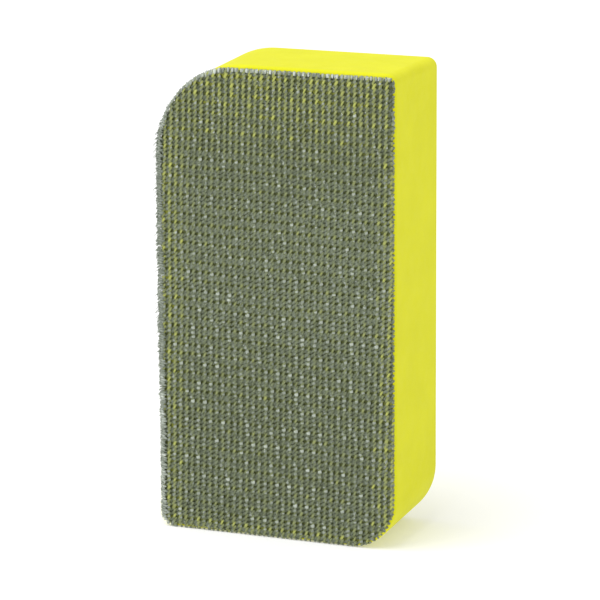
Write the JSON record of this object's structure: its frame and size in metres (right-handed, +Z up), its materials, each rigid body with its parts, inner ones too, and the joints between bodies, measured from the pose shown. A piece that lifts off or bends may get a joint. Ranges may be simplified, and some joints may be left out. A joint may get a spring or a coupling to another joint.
{
  "type": "sanding block",
  "caption": "Soft foam hand sanding block with two opposite corners broadly rounded and a knitted abrasive net laminated on its front face.",
  "frame": {"origin": "middle of the footprint, on the surface that the block stands on", "axes": "+Z up along the block's height, +X along its width, -Y out of the abrasive face"},
  "size_m": [0.066, 0.032, 0.125],
  "materials": {
    "yellow_foam": "matte, fine open cells",
    "adhesive_film": "thin clear hot-melt film over the foam",
    "net_yarn": "multifilament yarn, satin",
    "abrasive_coat": "fine bonded grains that glint"
  },
  "bodies": {
    "root": {"foam_block": "yellow_foam", "adhesive_film": "adhesive_film", "net_inlay_yarns": "net_yarn", "net_pillar_yarns": "net_yarn", "abrasive_coat": "abrasive_coat"}
  },
  "joints": []
}
